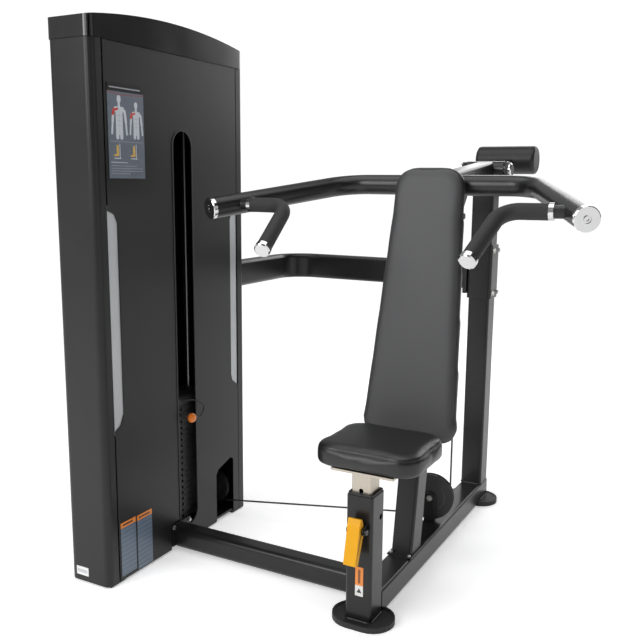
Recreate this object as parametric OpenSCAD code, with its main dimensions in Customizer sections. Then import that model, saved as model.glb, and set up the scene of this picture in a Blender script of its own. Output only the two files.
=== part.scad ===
// Selectorised shoulder press: weight tower, seat, backrest and a lifting press arm.
// The user faces -Y. The weight tower stands on the -X side. Units are millimetres.

/* [Tower] */
// height of the tower's side panels above the floor
tower_h = 1533; // [1300:1700]
// width of the tower along X
tower_w = 151; // [145:200]
// depth of the tower along Y
tower_d = 701; // [660:800]
// distance from the machine's centre plane to the tower's seat-side face
tower_x = 704; // [640:800]
// Y position of the tower's front face
tower_front = -1183; // [-1260:-1120]
// rise of the arched top cap above the panels
cap_rise = 85; // [40:120]
// width of the long slot in the seat-side panel
slot_w = 90; // [60:110]

/* [Weight stack] */
// number of weight plates under the head plate
plate_n = 19; // [8:20]
// thickness of one weight plate
plate_t = 20; // [15:22]
// plates carried with the head plate, down to the selector pin
picked_n = 2; // [1:6]
// thickness of the head plate
head_t = 30; // [20:40]

/* [Frame] */
// outside size of the square posts
post_w = 76; // [60:90]
// wall thickness of the posts and rails
wall_t = 4; // [2:6]
// height of the base rail's top face
rail_top = 75; // [60:90]
// distance from the rear upright to the front seat post
wheelbase = 965; // [850:1080]
// top of the front seat post
front_post_h = 363; // [300:380]
// height of the press arm's pivot
pivot_z = 1214; // [1120:1300]

/* [Seat and backrest] */
// width of the seat pad
seat_w = 306; // [240:360]
// depth of the seat pad
seat_d = 262; // [240:292]
// height of the seat pad's top at its lowest setting
seat_top = 490; // [460:520]
// thickness of the seat pad
seat_t = 62; // [40:64]
// backrest pad width at its lower end
back_w_low = 290; // [220:320]
// backrest pad width at its upper end
back_w_top = 206; // [160:260]
// backward lean of the backrest in degrees
back_lean = 9.5; // [4:12]

/* [Press arm] */
// outside diameter of the wide handle bar
bar_d = 60; // [45:65]
// half the distance between the two bends of the handle bar
bar_bend_x = 295; // [240:340]
// half the overall width of the handle bar
bar_end_x = 508; // [440:560]
// diameter of the soft grips
grip_d = 41; // [32:48]
// largest upward swing of the press arm in degrees
arm_swing = 42; // [20:45]
// radius from the pivot to the cable lug
lug_r = 410; // [380:420]

/* [Hidden] */
eps = 0.01;
fit = 0.05;
tx1 = -tower_x;                       // seat-side face of the tower
tx0 = tx1 - tower_w;                  // outer face
txm = (tx0 + tx1)/2;
tyf = tower_front;
tyr = tyf + tower_d;
tym = tyf + tower_d*0.532;            // stack and slot centre line
fp_y = -wheelbase;
ph = post_w/2;
head_z = 72 + plate_n*plate_t;        // underside of the head plate
pin_z = head_z - (picked_n - 0.5)*plate_t;
rod_off = 105;
stem_r = 11;
pivot_y = -10;
// pulleys: centre, pitch radius of the cable, outer radius
seat_pul = [-14.7, -425, 158];
seat_pr = 60;
tow_pul = [txm + 1.5, tyr - 103, 101];
tow_pr = 50;
top_pr = 42;
cable_r = 3;
pdx = seat_pul[0] - tow_pul[0];
pdy = seat_pul[1] - tow_pul[1];
plen = sqrt(pdx*pdx + pdy*pdy);
pyaw = atan2(pdy, pdx);
// slope of the run that is tangent to the underside of both pulleys
pdz = seat_pul[2] - tow_pul[2];
pbase = sqrt(plen*plen + pdz*pdz);
pslope = atan2(pdz, plen) - asin((seat_pr - tow_pr)/pbase);
// points in the plane of the pair, s along the run, z up
function pt(c, s, z) = [c[0] + s*cos(pyaw), c[1] + s*sin(pyaw), c[2] + z];
seat_tan = pt(seat_pul, seat_pr*sin(pslope), -seat_pr*cos(pslope));
tow_tan = pt(tow_pul, tow_pr*sin(pslope), -tow_pr*cos(pslope));
lift_foot = pt(seat_pul, seat_pr, 0);
tow_up = pt(tow_pul, -tow_pr, 0);
top_z = tower_h - 93;
stack_xy = [txm + 1.5, tym];
tdx = stack_xy[0] - tow_up[0];
tdy = stack_xy[1] - tow_up[1];
tyaw = atan2(tdy, tdx);
tlen = sqrt(tdx*tdx + tdy*tdy);
top_a = [tow_up[0] + top_pr*cos(tyaw), tow_up[1] + top_pr*sin(tyaw), top_z];
top_b = [tow_up[0] + (tlen - top_pr)*cos(tyaw), tow_up[1] + (tlen - top_pr)*sin(tyaw), top_z];
lug_a = -arm_swing/2;
lug = [lift_foot[0], pivot_y - lug_r*cos(lug_a), pivot_z + lug_r*sin(lug_a)];
cb_y = -497;                          // cross bar behind the backrest
cb_z = 1161;
hb_y = -926;                          // ends of the handle bar
hb_z = 1092;
bar_r = bar_d/2;
back_y = -697;                        // front of the backrest at z = 490
// front face of the backrest post at the rail: 61 behind the pad's front, square to it
bp_y = back_y + 61/cos(back_lean) - (490 - rail_top)*tan(back_lean);

BLACK = [0.07, 0.07, 0.075];
PANEL = [0.10, 0.10, 0.105];
RUBBER = [0.04, 0.04, 0.04];
STEEL = [0.72, 0.72, 0.70];
CHROME = [0.85, 0.85, 0.87];
VINYL = [0.12, 0.12, 0.13];

function unit(v) = v/norm(v);
// a frame whose Z axis runs along d
module along(p, d) {
  z = unit(d);
  h = abs(z[2]) > 0.99 ? [1, 0, 0] : [0, 0, 1];
  x = unit(cross(h, z));
  y = cross(z, x);
  multmatrix([[x[0], y[0], z[0], p[0]], [x[1], y[1], z[1], p[1]], [x[2], y[2], z[2], p[2]],
    [0, 0, 0, 1]]) children();
}
module rod(a, b, r) { along(a, b - a) cylinder(h = norm(b - a), r = r, $fn = 48); }
module pipe(a, b, r, ri) {
  along(a, b - a) difference() {
    cylinder(h = norm(b - a), r = r, $fn = 48);
    translate([0, 0, -1]) cylinder(h = norm(b - a) + 2, r = ri, $fn = 48);
  }
}
function turn(a, p, b) = acos(unit(p - a)*unit(b - p));
function tan1(a, p, b, br) = p - unit(p - a)*br*tan(turn(a, p, b)/2);
function tan2(a, p, b, br) = p + unit(b - p)*br*tan(turn(a, p, b)/2);
// a bend of radius br at corner p of the path a-p-b; the straights run lap into it, and it is
// shy of their radius so that their skins never run into one another
lap = 0.5;
shy = 0.04;
module elbow(a, p, b, br, r) {
  u = unit(p - a);
  v = unit(b - p);
  th = turn(a, p, b);
  n = unit(v - u*(u*v));
  t = tan1(a, p, b, br);
  c = t + n*br;
  w = cross(-n, u);
  multmatrix([[-n[0], u[0], w[0], c[0]], [-n[1], u[1], w[1], c[1]], [-n[2], u[2], w[2], c[2]],
    [0, 0, 0, 1]])
    rotate_extrude(angle = th, $fn = 96) translate([br, 0]) circle(r = r - shy, $fn = 48);
}
module rrect(w, d, r) {
  translate([r - w/2, r - d/2]) offset(r = r, $fn = 24) square([w - 2*r, d - 2*r]);
}
module sq_tube(w, d, h, t, r = 8) {
  difference() {
    linear_extrude(h) rrect(w, d, r);
    translate([0, 0, -1]) linear_extrude(h + 2) rrect(w - 2*t, d - 2*t, max(r - t, 1));
  }
}
module box(x, y, z) { translate([x[0], y[0], z[0]]) cube([x[1] - x[0], y[1] - y[0], z[1] - z[0]]); }
module hexbolt(r, h) { cylinder(h = h, r = r, $fn = 6); }
// prism across Y-Z, from x0 to x1, drawn from points [y, z]
module yz(x0, x1) {
  translate([x0, 0, 0]) rotate([90, 0, 90]) linear_extrude(x1 - x0) children();
}

// ---------------------------------------------------------------- frame
module front_post() {
  color(BLACK) difference() {
    translate([0, fp_y, 4]) sq_tube(post_w, post_w, front_post_h - 4, wall_t);
    translate([0, fp_y - ph - 1, pin_lock_z]) rotate([-90, 0, 0]) cylinder(h = wall_t + 2, r = 8, $fn = 32);
    translate([ph - wall_t - 1, fp_y + 16, 296]) rotate([0, 90, 0])
      cylinder(h = wall_t + 2, r = 8, $fn = 32);
  }
}
pin_lock_z = 250;
slide_w = post_w - 20;
module slider_bush() {
  color(RUBBER) translate([0, fp_y, 0]) difference() {
    union() {
      translate([0, 0, front_post_h]) linear_extrude(6) rrect(post_w - 4, post_w - 4, 8);
      translate([0, 0, front_post_h - 40]) linear_extrude(40 + eps)
        rrect(post_w - 2*wall_t - 0.6, post_w - 2*wall_t - 0.6, 3);
    }
    translate([0, 0, front_post_h - 42]) linear_extrude(60) rrect(slide_w + 0.8, slide_w + 0.8, 3);
  }
}
module base_rail() {
  l = wheelbase;
  color(BLACK) translate([0, fp_y + ph, 0]) difference() {
    translate([0, l, 0]) rotate([90, 0, 0]) translate([0, (rail_top + 5)/2, 0])
      sq_tube(post_w, rail_top - 5, l, wall_t, 9);
  }
}
cm_y = -850;
cm_w = 66;
module cross_member() {
  color(BLACK) translate([tx1 + 1, cm_y, 40]) rotate([0, 90, 0])
    sq_tube(cm_w, cm_w, tower_x - 1 - ph, 3.5, 16);
}
module cross_flange() {
  color(BLACK) difference() {
    box([tx1 - 5, tx1 + 1], [cm_y - 46, cm_y + 46], [14, 86]);
    for (s = [-1, 1]) translate([tx1 - 10, cm_y + s*39, 76]) rotate([0, 90, 0])
      cylinder(h = 20, r = 5, $fn = 24);
  }
}
module rear_upright() {
  color(BLACK) translate([0, 0, rail_top]) sq_tube(post_w, post_w, pivot_z - 62 - rail_top, wall_t);
}
yoke_x = 72;
yoke_t = 10;
module pivot_yoke() {
  color(BLACK) {
    translate([0, 0, pivot_z - 62]) linear_extrude(8) translate([-yoke_x - yoke_t, -ph - 2])
      square([2*(yoke_x + yoke_t), post_w + 4]);
    for (s = [-1, 1]) difference() {
      union() {
        box(s > 0 ? [yoke_x, yoke_x + yoke_t] : [-yoke_x - yoke_t, -yoke_x],
          [pivot_y - 28, pivot_y + 28], [pivot_z - 54 - eps, pivot_z]);
        translate([s*(yoke_x + yoke_t/2), pivot_y, pivot_z]) rotate([0, 90, 0])
          cylinder(h = yoke_t, r = 28, center = true, $fn = 64);
      }
      translate([s*(yoke_x + yoke_t/2), pivot_y, pivot_z]) rotate([0, 90, 0])
        cylinder(h = yoke_t + 4, r = 15 + fit, center = true, $fn = 64);
    }
  }
}
module pivot_shaft() {
  color(STEEL) translate([0, pivot_y, pivot_z]) rotate([0, 90, 0])
    cylinder(h = 2*(yoke_x + yoke_t), r = 15, center = true, $fn = 64);
}
module pivot_caps() {
  color(CHROME) for (s = [-1, 1]) translate([s*(yoke_x + yoke_t), pivot_y, pivot_z]) rotate([0, s*90, 0]) {
    cylinder(h = 6, r = 24, $fn = 64);
    translate([0, 0, 6]) cylinder(h = 4, r1 = 24, r2 = 19, $fn = 64);
  }
}
module foot(post_pocket, rail_y0, rail_y1) {
  difference() {
    union() {
      linear_extrude(12) rrect(176, 128, 63.9);
      translate([0, 0, 12 - eps]) difference() {
        linear_extrude(4 + eps) rrect(176, 128, 63.9);
        translate([0, 0, 2]) linear_extrude(4) rrect(160, 112, 55.9);
      }
    }
    if (post_pocket) translate([0, 0, 4]) linear_extrude(30) rrect(post_w + 0.4, post_w + 0.4, 8);
    box([-ph - 0.2, ph + 0.2], [rail_y0, rail_y1], [5, 40]);
  }
}
module front_foot() { color(RUBBER) translate([0, fp_y, 0]) foot(true, ph - 5, 80); }
module rear_foot() {
  // moulded in one with the plug that closes the rail's end
  color(RUBBER) {
    foot(false, -80, ph + 4);
    translate([0, ph, (rail_top + 5)/2]) rotate([-90, 0, 0]) {
      linear_extrude(4 + eps) rrect(post_w, rail_top - 5, 9);
      translate([0, 0, -14]) linear_extrude(14 + eps)
        rrect(post_w - 2*wall_t - 0.4, rail_top - 5 - 2*wall_t - 0.4, 5);
    }
  }
}

bp_w = 66;

bp_top = 985;
module lean(y, z) { translate([0, y, z]) rotate([-back_lean, 0, 0]) children(); }
module backrest_post() {
  l = (bp_top - rail_top)/cos(back_lean);
  color(BLACK) difference() {
    lean(bp_y, rail_top) translate([0, ph, -30]) sq_tube(bp_w, post_w, l + 30, 3.5);
    box([-60, 60], [bp_y - 60, bp_y + 160], [rail_top - 80, rail_top + 4]);
  }
  // shoe plate bolted down on the rail
  color(BLACK) difference() {
    box([-ph, ph], [bp_y - 18, bp_y + 98], [rail_top, rail_top + 4 + eps]);
    for (s = [-1, 1]) translate([s*28, bp_y - 9, rail_top - 1]) cylinder(h = 8, r = 4, $fn = 20);
  }
}
br_z0 = 797;
br_h = 92;
br_t = 50;
br_x = txm;
br_r = 110;
module upper_brace() {
  zc = br_z0 + br_h/2;
  y0 = tyr + 6;
  yb = -22 - br_r;
  color(BLACK) {
    translate([br_x, y0, zc]) rotate([-90, 0, 0]) sq_tube(br_t, br_h, yb - y0, 3, 14);
    translate([br_x + br_r, yb, zc]) rotate([0, 0, 90]) rotate_extrude(angle = 90, $fn = 96)
      translate([br_r, 0]) difference() { rrect(br_t, br_h, 14); rrect(br_t - 6, br_h - 6, 11); }
    translate([br_x + br_r, -22, zc]) rotate([0, 90, 0]) rotate([0, 0, 90])
      sq_tube(br_t, br_h, -58 - br_x - br_r, 3, 14);
    difference() {
      box([br_x - 45, br_x + 45], [tyr, tyr + 6], [br_z0 - 14, br_z0 + br_h + 14]);
      for (s = [-1, 1], z = [br_z0 - 6, br_z0 + br_h + 6]) translate([br_x + s*36, tyr - 1, z])
        rotate([-90, 0, 0]) cylinder(h = 9, r = 4.5, $fn = 24);
    }
  }
}
cl_z0 = 765;
cl_h = 190;
module brace_clamp() {
  color(BLACK) {
    translate([0, 0, cl_z0]) difference() {
      linear_extrude(cl_h) rrect(post_w + 12, post_w + 12, 10);
      translate([0, 0, -1]) linear_extrude(cl_h + 2) rrect(post_w, post_w, 8);
    }
    box([-58, -post_w/2 - 6], [-47, 3 + 44], [br_z0 - 16, br_z0 + br_h + 16]);
  }
}
module frame_bolts() {
  color(STEEL) {
    for (y = [-26, 26], z = [cl_z0 + 20, cl_z0 + cl_h - 20]) translate([post_w/2 + 6, y, z])
      rotate([0, 90, 0]) hexbolt(9, 7);
    for (s = [-1, 1], z = [br_z0 - 6, br_z0 + br_h + 6]) translate([br_x + s*36, tyr + 6, z])
      rotate([-90, 0, 0]) hexbolt(8, 6);
    for (s = [-1, 1]) translate([s*28, bp_y - 9, rail_top + 4]) hexbolt(6, 5);
    for (s = [-1, 1]) translate([tx1 + 1, cm_y + s*39, 76]) rotate([0, 90, 0]) hexbolt(6, 5);
  }
}

// ---------------------------------------------------------------- tower
module tower_feet() {
  color(RUBBER) for (y = [tyf + 12, tyr - 72]) box([tx0 + 6, tx1 - 6], [y, y + 60], [0, 12]);
}
module tower_base() {
  color(BLACK) difference() {
    union() {
      box([tx0 + 4, tx1 - 5], [tyf + 44, tyr - 42], [12, 20]);
      box([tx0 + 20, tx1 - 20], [tyf + 6, tyf + 44], [12, 20]);
      box([tx0 + 20, tx1 - 20], [tyr - 42, tyr - 6], [12, 20]);
      box([tx1 - 11, tx1 - 5], [cm_y - 46, cm_y + 46], [20 - eps, 72]);
    }
    for (s = [-1, 1]) translate([stack_xy[0], tym + s*rod_off, 14]) cylinder(h = 20, r = 10, $fn = 48);
  }
}
module tower_posts() {
  color(BLACK) {
    translate([txm, tyf + 22, 20]) sq_tube(108, 30, tower_h - 33 - 20, 3, 5);
    translate([txm, tyr - 20, 20]) sq_tube(108, 26, tower_h - 33 - 20, 3, 5);
  }
}
module cover(y0, y1, r, front) {
  // C-shaped sheet cover over the tower's end, open towards the stack
  t = 2.5;
  difference() {
    translate([0, 0, 4]) linear_extrude(tower_h - 4) difference() {
      intersection() {
        translate([txm, front ? y0 + 60 : y1 - 60]) rrect(tower_w, 120, r);
        translate([tx0, y0]) square([tower_w, y1 - y0]);
      }
      intersection() {
        translate([txm, front ? y0 + 60 : y1 - 60]) rrect(tower_w - 2*t, 120 - 2*t, r - t);
        translate([tx0, y0 - 1]) square([tower_w, y1 - y0 + 2]);
      }
    }
    if (!front) for (s = [-1, 1], z = [br_z0 - 6, br_z0 + br_h + 6]) translate([br_x + s*36, y1 - 5, z])
      rotate([-90, 0, 0]) cylinder(h = 9, r = 4.5, $fn = 24);
  }
}
module tower_front_cover() { color(PANEL) cover(tyf, tyf + 41, 20, true); }
module tower_rear_cover() { color(PANEL) cover(tyr - 38, tyr, 14, false); }
slot_z0 = 58;
slot_z1 = tower_h - 218;
module stadium(y, z0, z1, w) {
  translate([y, z0 + w/2]) circle(d = w, $fn = 64);
  translate([y, z1 - w/2]) circle(d = w, $fn = 64);
  translate([y - w/2, z0 + w/2]) square([w, z1 - z0 - w]);
}
py0 = tyf + 46;
py1 = tyr - 40;
module seat_side_panel() {
  color(PANEL) yz(tx1 - 3, tx1) difference() {
    translate([py0, 6]) square([py1 - py0, tower_h - 6]);
    stadium(tym, slot_z0, slot_z1, slot_w);
    // stepped edge windows that show the bright inlays
    polygon([[py0 - 1, 462], [py0 + 22, 474], [py0 + 37, 506], [py0 + 37, 1050], [py0 + 26, 1074],
      [py0 - 1, 1086]]);
    polygon([[py1 + 1, 466], [py1 - 32, 490], [py1 - 38, 512], [py1 - 38, 1040], [py1 - 28, 1062],
      [py1 + 1, 1066]]);
    // opening for the lower pulley and cable
    polygon([[tyr - 173, -1], [tyr - 173, 176], [tyr - 160, 192], [tyr - 88, 214], [tyr - 73, 204],
      [tyr - 73, -1]]);
    // foot notches and the opening for the cross member
    polygon([[cm_y - 50, -1], [cm_y - 50, 86], [cm_y - 44, 92], [cm_y + 44, 92], [cm_y + 50, 86],
      [cm_y + 50, -1]]);
  }
}
module outer_panel() {
  color(PANEL) yz(tx0, tx0 + 3) difference() {
    translate([py0, 6]) square([py1 - py0, tower_h - 6]);
    for (y = [py0 + 30, py1 - 30], z = [60, tower_h/2, tower_h - 50])
      translate([y, z]) circle(r = 3, $fn = 20);
  }
}
module slot_trim() {
  color([0.2, 0.2, 0.21]) yz(tx1, tx1 + 2) difference() {
    stadium(tym, slot_z0 - 4, slot_z1 + 4, slot_w + 8);
    stadium(tym, slot_z0 + 1.5, slot_z1 - 1.5, slot_w - 3);
    translate([cm_y - 47, -1]) square([94, 88]);
  }
}
module side_inlays() {
  color([0.62, 0.63, 0.65]) {
    box([tx1 - 5, tx1 - 3], [py0, py0 + 52], [450, 1100]);
    box([tx1 - 5, tx1 - 3], [py1 - 52, py1], [452, 1080]);
  }
}
module tower_cap() {
  // arched lid with a skirt edge; the crown runs along Y
  l = tower_d + 4;
  rr = (l*l/4 + 30*30)/(2*30);
  color(BLACK) translate([0, 0, tower_h]) difference() {
    intersection() {
      yz(tx0 - 2, tx1 + 2) intersection() {
        translate([tyf - 2, 0]) square([l, cap_rise]);
        translate([tyf - 2 + l/2, cap_rise - rr]) circle(r = rr, $fn = 180);
      }
      linear_extrude(cap_rise + 1) translate([txm, (tyf + tyr)/2]) rrect(tower_w + 4, l, 20);
    }
    yz(tx0 + 3, tx1 - 3) intersection() {
      translate([tyf + 3, -1]) square([l - 10, cap_rise]);
      translate([tyf - 2 + l/2, cap_rise - rr - 5]) circle(r = rr, $fn = 180);
    }
  }
}
module top_frame() {
  color(BLACK) {
    difference() {
      box([tx0 + 12, tx1 - 12], [tyf + 7, tyr - 7], [tower_h - 33, tower_h - 27]);
      for (s = [-1, 1]) translate([stack_xy[0], tym + s*rod_off, tower_h - 40])
        cylinder(h = 20, r = 10, $fn = 48);
    }
    // a pair of hangers for each top pulley, clear of the guide rods
    for (c = [top_a, top_b], s = [-1, 1]) translate(c) rotate([0, 0, tyaw]) difference() {
      translate([-22, s*17 - 2, -26]) cube([44, 4, tower_h - 33 - top_z + 26]);
      rotate([90, 0, 0]) cylinder(h = 60, r = 6 + fit, center = true, $fn = 32);
    }
  }
}
module guide_rods() {
  color(CHROME) for (s = [-1, 1]) translate([stack_xy[0], tym + s*rod_off, 14])
    cylinder(h = tower_h - 27 - 14, r = 10, $fn = 48);
}
module stack_bumpers() {
  color(RUBBER) for (s = [-1, 1]) translate([stack_xy[0], tym + s*rod_off, 20]) difference() {
    union() {
      cylinder(h = 40, r = 28, $fn = 64);
      translate([0, 0, 40]) cylinder(h = 12, r1 = 28, r2 = 22, $fn = 64);
    }
    translate([0, 0, -1]) cylinder(h = 60, r = 10.4, $fn = 48);
  }
}
pl_x = 100;
pl_y = 300;
module plates(n) {
  // n plates lying on one another, each with a small bevel round its rim
  difference() {
    for (i = [0 : n - 1]) translate([stack_xy[0], tym, i*plate_t]) {
      translate([-pl_x/2, -pl_y/2, 1]) cube([pl_x, pl_y, plate_t - 2]);
      translate([-pl_x/2 + 1.2, -pl_y/2 + 1.2, 0]) cube([pl_x - 2.4, pl_y - 2.4, plate_t]);
    }
    for (s = [-1, 1]) translate([stack_xy[0], tym + s*rod_off, -1])
      cylinder(h = n*plate_t + 2, r = 11.2, $fn = 48);
    translate([stack_xy[0], tym, -1]) cylinder(h = n*plate_t + 2, r = stem_r + 1, $fn = 48);
    for (i = [0 : n - 1]) translate([stack_xy[0], tym, (i + 0.5)*plate_t]) rotate([0, 90, 0])
      cylinder(h = pl_x, r = 5.2, $fn = 24);
  }
}
module plates_resting() { color(BLACK) translate([0, 0, 72]) plates(plate_n - picked_n); }
module plates_picked() {
  color(BLACK) translate([0, 0, head_z - picked_n*plate_t + 0.4]) plates(picked_n);
}
module head_plate() {
  color(BLACK) difference() {
    translate([stack_xy[0], tym, head_z + 0.4]) {
      translate([-pl_x/2, -pl_y/2, 1]) cube([pl_x, pl_y, head_t - 5]);
      translate([-pl_x/2 + 3, -pl_y/2 + 3, 0]) cube([pl_x - 6, pl_y - 6, head_t]);
      for (s = [-1, 1]) translate([0, s*rod_off, head_t - 1]) cylinder(h = 13, r = 17, $fn = 48);
    }
    for (s = [-1, 1]) translate([stack_xy[0], tym + s*rod_off, head_z - 1])
      cylinder(h = head_t + 20, r = 10 + 0.4, $fn = 48);
    translate([stack_xy[0], tym, head_z - 1]) cylinder(h = head_t + 20, r = stem_r, $fn = 48);
  }
}
module stack_stem() {
  z0 = 76;
  color(STEEL) difference() {
    union() {
      translate([stack_xy[0], tym, z0]) cylinder(h = head_z + head_t + 14 - z0, r = stem_r, $fn = 48);
      translate([stack_xy[0], tym, head_z + head_t + 0.4]) cylinder(h = 22, r = 15, $fn = 6);
      translate([stack_xy[0], tym, head_z + head_t + 22]) cylinder(h = 24, r1 = 9, r2 = 6, $fn = 32);
    }
    translate([stack_xy[0], tym, head_z + head_t + 40]) cylinder(h = 10, r = cable_r, $fn = 24);
    for (i = [0 : plate_n - 1]) translate([stack_xy[0], tym, 72 + (i + 0.5)*plate_t + 0.2])
      rotate([0, 90, 0]) cylinder(h = 60, r = 4.5 + fit, center = true, $fn = 24);
  }
}
pin_x1 = tx1 + 10;
module selector_pin() {
  l = pin_x1 - stack_xy[0] + 10;
  color(CHROME) translate([stack_xy[0] - 10, tym, pin_z + 0.2]) rotate([0, 90, 0]) {
    cylinder(h = l, r = 4.5, $fn = 32);
    translate([0, 0, l - 8]) cylinder(h = 8, r = 8, $fn = 32);
  }
}
module pin_knob() {
  color([0.93, 0.45, 0.05]) translate([pin_x1, tym, pin_z + 0.2]) rotate([0, 90, 0])
    rotate_extrude($fn = 64)
    polygon([[0, 0], [11, 0], [14.5, 4], [15.5, 9], [14.5, 14], [11, 18], [6, 20], [0, 20.5]]);
}
// short safety cord from the head plate to the knob
lan = [[stack_xy[0] + pl_x/2 + 1.2, tym + 4, head_z + 20], [tx1 + 9, tym + 34, head_z + 22],
  [tx1 + 16, tym + 78, head_z - 8],  [tx1 + 18, tym + 40, pin_z - 12], [pin_x1 + 12, tym + 19, pin_z]];
module lanyard() {
  br = [18, 18, 14];
  color([0.16, 0.13, 0.10]) {
    for (i = [0:2]) elbow(lan[i], lan[i + 1], lan[i + 2], br[i], 2.2);
    for (i = [0:3]) {
      d = unit(lan[i + 1] - lan[i]);
      a = i == 0 ? lan[0] : tan2(lan[i - 1], lan[i], lan[i + 1], br[i - 1]) - d*lap;
      b = i == 3 ? lan[4] : tan1(lan[i], lan[i + 1], lan[i + 2], br[i]) + d*lap;
      rod(a, b, 2.2);
    }
  }
}
module placard() {
  color([0.33, 0.36, 0.42]) box([tx1, tx1 + 1.5], [tyf + 57, tyf + 201],
    [tower_h - 361, tower_h - 109]);
}
module labels() {
  color([0.45, 0.50, 0.55]) {
    box([tx1, tx1 + 1], [tyf + 52, tyf + 116], [18, 183]);
    box([tx1, tx1 + 1], [tyf + 123, tyf + 189], [10, 181]);
  }
  color([0.9, 0.45, 0.1]) box([-8, 15], [fp_y - ph - 0.8, fp_y - ph], [86, 168]);
  color([0.85, 0.85, 0.85]) box([tx0 + 24, tx0 + 70], [tyf - 0.8, tyf], [22, 48]);
}

// ---------------------------------------------------------------- pulleys and cable
module pulley(pr, ro, w) {
  rg = pr - cable_r - 0.4;            // floor of the groove
  difference() {
    rotate_extrude($fn = 96) polygon([[8, -w/2 - 2], [14, -w/2 - 2], [14, -w/2], [rg - 12, -w/2],
      [rg - 8, -w/2 + 1], [ro, -w/2 + 1], [ro, -w/2 + 3], [rg + 2, -cable_r], [rg, -cable_r + 1],
      [rg, cable_r - 1], [rg + 2, cable_r], [ro, w/2 - 3], [ro, w/2 - 1], [rg - 8, w/2 - 1],
      [rg - 12, w/2], [14, w/2], [14, w/2 + 2], [8, w/2 + 2]]);
    cylinder(h = w + 20, r = 8 + fit, center = true, $fn = 48);
  }
}
module at_pul(c, yaw) { translate(c) rotate([0, 0, yaw]) rotate([90, 0, 0]) children(); }
module seat_pulley() { color(RUBBER) at_pul(seat_pul, pyaw) pulley(seat_pr, 76, 20); }
module tower_pulley() { color(RUBBER) at_pul(tow_pul, pyaw) pulley(tow_pr, 64, 20); }
module top_pulley_rear() { color(RUBBER) at_pul(top_a, tyaw) pulley(top_pr, 50, 18); }
module top_pulley_front() { color(RUBBER) at_pul(top_b, tyaw) pulley(top_pr, 50, 18); }
module pulley_axles() {
  color(STEEL) {
    for (c = [[seat_pul, pyaw], [tow_pul, pyaw]]) at_pul(c[0], c[1]) {
      cylinder(h = 26, r = 8, center = true, $fn = 48);
      cylinder(h = 44, r = 6, center = true, $fn = 32);
      for (s = [-1, 1]) translate([0, 0, s*20.5]) cylinder(h = 7, r = 10, center = true, $fn = 6);
    }
    for (c = [top_a, top_b]) at_pul(c, tyaw) {
      cylinder(h = 30, r = 8, center = true, $fn = 48);
      cylinder(h = 46, r = 6, center = true, $fn = 32);
      for (s = [-1, 1]) translate([0, 0, s*22.5]) cylinder(h = 7, r = 10, center = true, $fn = 6);
    }
  }
}
module fork(c, z0, hw) {
  // two cheeks beside the pulley, and the foot that joins them
  translate([c[0], c[1], 0]) rotate([0, 0, pyaw]) {
    for (s = [-1, 1]) difference() {
      union() {
        translate([-hw, s*15 - 2, z0]) cube([2*hw, 4, c[2] - z0]);
        translate([0, s*15, c[2]]) rotate([90, 0, 0]) cylinder(h = 4, r = hw, center = true, $fn = 48);
      }
      translate([0, s*15, c[2]]) rotate([90, 0, 0]) cylinder(h = 10, r = 6 + fit, center = true, $fn = 32);
    }
    translate([-hw, -17, z0]) cube([2*hw, 34, 4]);
  }
}
module pulley_brackets() {
  color(BLACK) {
    fork(seat_pul, rail_top, 18);
    fork(tow_pul, 20, 18);
  }
}
module arc(c, yaw, a0, a1, pr) {
  // cable lying round a pulley, angles measured in the pulley's own plane
  at_pul(c, yaw) rotate([0, 0, a0]) rotate_extrude(angle = a1 - a0, $fn = 96)
    translate([pr, 0]) circle(r = cable_r - shy, $fn = 20);
}
module cable_main() {
  d = unit(tow_tan - seat_tan)*lap;
  e = unit([top_b[0] - top_a[0], top_b[1] - top_a[1], 0])*lap;
  up = [0, 0, lap];
  over = [0, 0, top_pr];
  color([0.05, 0.05, 0.05]) {
    arc(seat_pul, pyaw, -90 + pslope, 0, seat_pr);
    rod(seat_tan - d, tow_tan + d, cable_r);
    arc(tow_pul, pyaw, -180, -90 + pslope, tow_pr);
    rod(tow_up - up, [tow_up[0], tow_up[1], top_z] + up, cable_r);
    arc(top_a, tyaw, 90, 180, top_pr);
    rod(top_a + over - e, top_b + over + e, cable_r);
    arc(top_b, tyaw, 0, 90, top_pr);
  }
}
module cable_lift() { color([0.05, 0.05, 0.05]) rod(lift_foot, lug - [0, 0, 26.5], cable_r); }
module cable_drop() {
  color([0.05, 0.05, 0.05])
    rod([stack_xy[0], tym, head_z + head_t + 46.4], [stack_xy[0], tym, top_z], cable_r);
}

// ---------------------------------------------------------------- press arm
piv = [0, pivot_y, pivot_z];
cbm = [0, cb_y, cb_z];
arm_dir = unit(cbm - piv);
arm_pitch = atan2(cb_z - pivot_z, -(cb_y - pivot_y));
hub_r = 30;
module arm_hub() {
  color(BLACK) translate(piv) rotate([0, 90, 0]) difference() {
    cylinder(h = 2*66, r = hub_r, center = true, $fn = 96);
    cylinder(h = 2*66 + 2, r = 15 + fit, center = true, $fn = 96);
  }
}
module arm_tube() {
  l = norm(cbm - piv);
  color(BLACK) difference() {
    translate(piv) rotate([90 - arm_pitch, 0, 0]) translate([0, 0, 12]) sq_tube(60, 58, l - 14, 3.5, 9);
    translate(piv) rotate([0, 90, 0]) cylinder(h = 140, r = hub_r, center = true, $fn = 96);
    translate(cbm) rotate([0, 90, 0]) cylinder(h = 140, r = bar_r, center = true, $fn = 96);
  }
}
function mir(p, s) = [s*p[0], p[1], p[2]];
be = [bar_end_x, hb_y, hb_z];
bb = [bar_bend_x, cb_y, cb_z];
bar_br = 120;
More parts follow.
